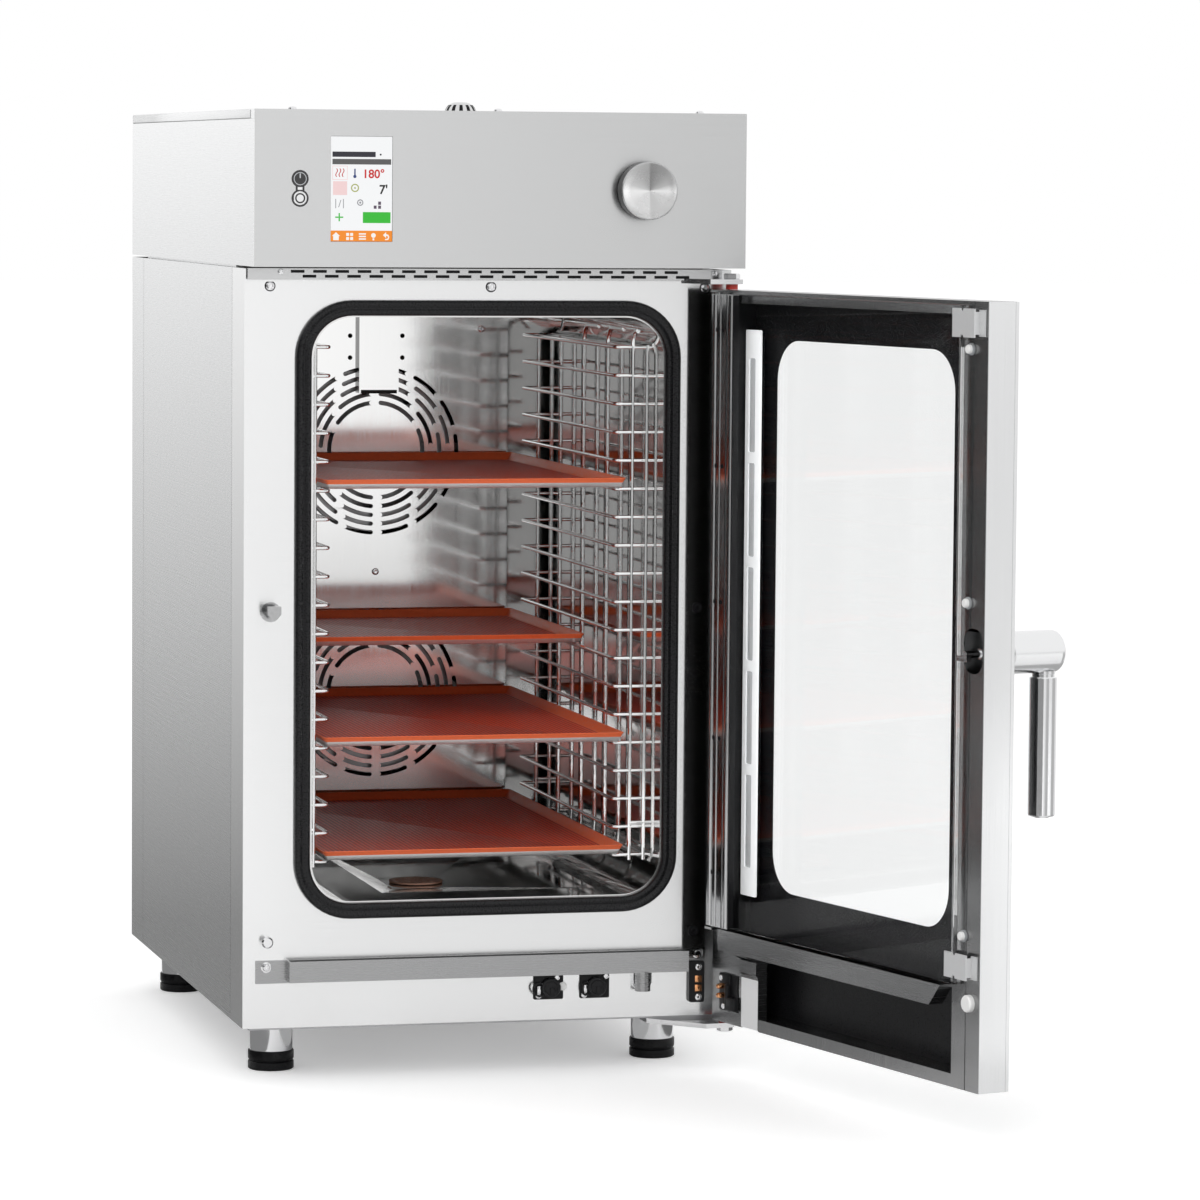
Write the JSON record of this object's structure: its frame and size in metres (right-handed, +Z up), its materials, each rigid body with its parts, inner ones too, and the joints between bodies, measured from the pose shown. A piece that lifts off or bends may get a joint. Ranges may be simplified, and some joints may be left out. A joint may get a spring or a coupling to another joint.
{
  "type": "combi oven",
  "caption": "Compact steam and convection oven with its glazed door open, wire racks, trays, head controls, turning door handle and levelling feet.",
  "frame": {"origin": "on the floor, midway between the four feet", "axes": "+Z up, +Y into the oven towards its rear connections, +X to the right seen from the front"},
  "size_m": [0.7228, 1.276, 1.027],
  "materials": {
    "casing": "brushed",
    "base": "plain",
    "front": "brushed",
    "chamber": "bright",
    "gasket": "matt",
    "wool": "fibrous",
    "baffle": "bright",
    "motor": "satin",
    "heater": "heat-toned",
    "wire": "polished wire",
    "pipe": "matt",
    "screen": "gloss",
    "bezel": "gloss",
    "chimney": "plain",
    "valve": "plain",
    "board": "matt",
    "gland": "matt",
    "hinge": "plain",
    "bush": "matt",
    "gutter": "brushed",
    "socket": "matt",
    "contact": "matt",
    "striker": "plain",
    "leg": "plain",
    "foot": "matt",
    "screw": "plain",
    "tray": "orange-red non-stick coating on aluminium",
    "fan": "plain",
    "button": "satin",
    "plunger": "matt",
    "knob": "satin",
    "door": "brushed",
    "outer_pane": "black edged, clear in the middle",
    "led": "frosted",
    "buffer": "matt",
    "clip": "plain",
    "inner_pane": "lightly tinted",
    "profile": "anodised",
    "handle": "polished"
  },
  "bodies": {
    "cabinet": {"casing_left": "casing", "casing_right": "casing", "casing_back": "casing", "base_plate": "base", "front_frame": "front", "cavity_liner": "chamber", "door_gasket": "gasket", "insulation": "wool", "fan_baffle": "baffle", "steam_duct": "baffle", "fan_motors": "motor", "ring_heaters": "heater", "side_rack_left": "wire", "side_rack_right": "wire", "drain_strainer": "baffle", "drain_pipe": "pipe", "head_housing": "casing", "head_lid": "casing", "head_front_panel": "front", "display_screen": "screen", "button_bezel": "bezel", "flue_chimney": "chimney", "water_valve": "valve", "control_board": "board", "cable_gland": "gland", "hinge_plates": "hinge", "hinge_pins": "hinge", "hinge_bushings": "bush", "condensate_gutter": "gutter", "service_sockets": "socket", "contact_block": "contact", "door_striker": "striker", "leg_tubes": "leg", "frame_screws": "screw"},
    "left_socket_cap": {"socket_cap_left": "socket"},
    "right_socket_cap": {"socket_cap_right": "socket"},
    "front_left_foot": {"foot_front_left": "foot"},
    "front_right_foot": {"foot_front_right": "foot"},
    "rear_left_foot": {"foot_rear_left": "foot"},
    "rear_right_foot": {"foot_rear_right": "foot"},
    "top_tray": {"tray_1": "tray"},
    "short_tray": {"tray_2": "tray"},
    "third_tray": {"tray_3": "tray"},
    "bottom_tray": {"tray_4": "tray"},
    "upper_fan": {"fan_wheel_upper": "fan"},
    "lower_fan": {"fan_wheel_lower": "fan"},
    "button": {"power_button": "button"},
    "knob_slide": {"encoder_plunger": "plunger"},
    "knob": {"control_knob": "knob"},
    "door": {"door_frame": "door", "outer_glass": "outer_pane", "led_strip": "led", "door_contact_block": "contact", "drip_channel": "profile", "door_buffers": "buffer"},
    "inner_door": {"glass_clips": "clip", "inner_glass": "inner_pane", "inner_glass_hinge": "profile"},
    "handle": {"door_handle": "handle", "latch_hook": "hinge"}
  },
  "joints": [
    {"name": "door_hinge", "type": "hinge", "parent": "cabinet", "child": "door", "pos_m": [0.252, -0.418, 0.45], "axis": [0, 0, 1], "range_deg": [-104.5, 50.5]},
    {"name": "inner_glass_hinge", "type": "hinge", "parent": "door", "child": "inner_door", "pos_m": [0.2351, -0.4286, 0.4935], "axis": [0, 0, -1], "range_deg": [0, 75]},
    {"name": "handle_turn", "type": "hinge", "parent": "door", "child": "handle", "pos_m": [0.39853, -0.88674, 0.487], "axis": [-0.9681, -0.2504, 0], "range_deg": [0, 90]},
    {"name": "knob_push", "type": "slide", "parent": "cabinet", "child": "knob_slide", "axis": [0, 1, 0], "range_m": [0, 0.0015], "stiffness_N_per_m": 900},
    {"name": "knob_turn", "type": "hinge", "parent": "knob_slide", "child": "knob", "pos_m": [0.1505, -0.448, 0.9315], "axis": [0, 1, 0], "continuous": true},
    {"name": "power_button_push", "type": "slide", "parent": "cabinet", "child": "button", "axis": [0, 1, 0], "range_m": [0, 0.0015], "stiffness_N_per_m": 600},
    {"name": "upper_fan_spin", "type": "hinge", "parent": "cabinet", "child": "upper_fan", "pos_m": [0, 0.222, 0.631], "axis": [0, 1, 0], "continuous": true},
    {"name": "lower_fan_spin", "type": "hinge", "parent": "cabinet", "child": "lower_fan", "pos_m": [0, 0.222, 0.352], "axis": [0, 1, 0], "continuous": true},
    {"name": "left_cap_hinge", "type": "hinge", "parent": "cabinet", "child": "left_socket_cap", "pos_m": [0.051, -0.3965, 0.0947], "axis": [0, 0, -1], "range_deg": [0, 120]},
    {"name": "right_cap_hinge", "type": "hinge", "parent": "cabinet", "child": "right_socket_cap", "pos_m": [0.101, -0.3965, 0.0947], "axis": [0, 0, -1], "range_deg": [0, 120]},
    {"name": "top_tray_slide", "type": "slide", "parent": "cabinet", "child": "top_tray", "axis": [0, -1, 0], "range_m": [0, 0.35]},
    {"name": "short_tray_slide", "type": "slide", "parent": "cabinet", "child": "short_tray", "axis": [0, -1, 0], "range_m": [0, 0.35]},
    {"name": "third_tray_slide", "type": "slide", "parent": "cabinet", "child": "third_tray", "axis": [0, -1, 0], "range_m": [0, 0.35]},
    {"name": "bottom_tray_slide", "type": "slide", "parent": "cabinet", "child": "bottom_tray", "axis": [0, -1, 0], "range_m": [0, 0.35]},
    {"name": "front_left_foot_screw", "type": "slide", "parent": "cabinet", "child": "front_left_foot", "axis": [0, 0, 1], "range_m": [-0.025, 0]},
    {"name": "front_right_foot_screw", "type": "slide", "parent": "cabinet", "child": "front_right_foot", "axis": [0, 0, 1], "range_m": [-0.025, 0]},
    {"name": "rear_left_foot_screw", "type": "slide", "parent": "cabinet", "child": "rear_left_foot", "axis": [0, 0, 1], "range_m": [-0.025, 0]},
    {"name": "rear_right_foot_screw", "type": "slide", "parent": "cabinet", "child": "rear_right_foot", "axis": [0, 0, 1], "range_m": [-0.025, 0]}
  ]
}
